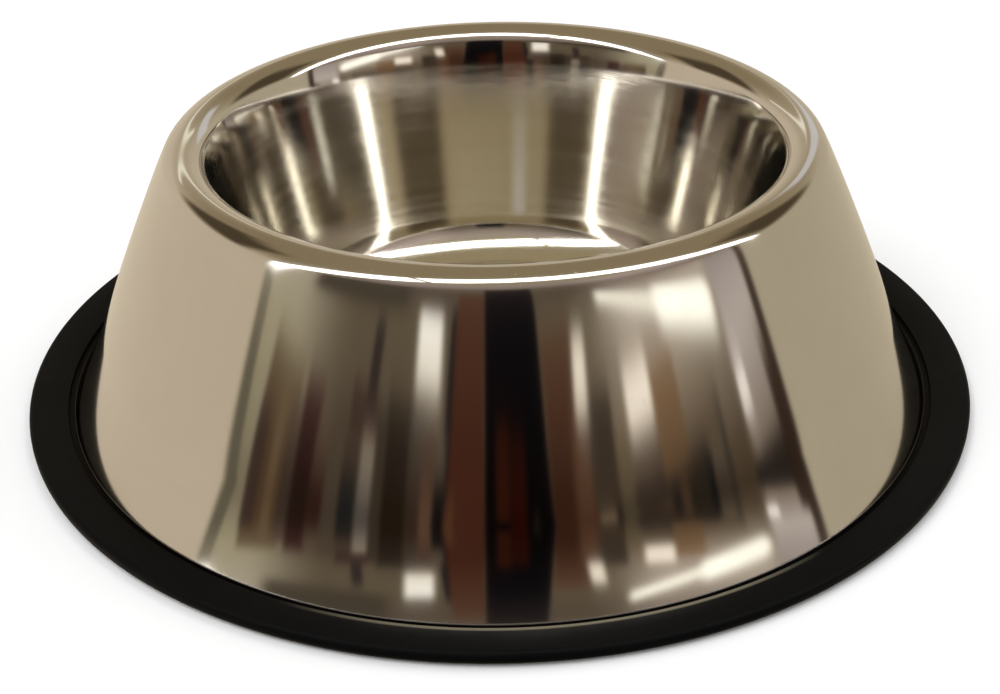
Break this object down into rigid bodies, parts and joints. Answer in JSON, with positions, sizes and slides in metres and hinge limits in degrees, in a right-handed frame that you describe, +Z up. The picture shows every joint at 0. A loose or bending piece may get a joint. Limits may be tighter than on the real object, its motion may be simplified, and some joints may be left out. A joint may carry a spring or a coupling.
{
  "type": "pet bowl",
  "caption": "Non-tip pet feeding bowl: a polished steel dish with a rounded crown and a sloping outer skirt that stands in a flat black rubber anti-skid ring.",
  "frame": {"origin": "on the table, in the middle of the rubber ring", "axes": "+Z up along the axis that everything is spun about; the bowl is the same all round, so +X and +Y have no mark of their own"},
  "size_m": [0.25, 0.25, 0.07],
  "materials": {
    "stainless_steel": "mirror polished outside and on the crown, slightly satin in the dish",
    "black_rubber": "smooth moulded, low gloss"
  },
  "bodies": {
    "root": {"steel_bowl": "stainless_steel", "rubber_ring": "black_rubber"}
  },
  "joints": []
}
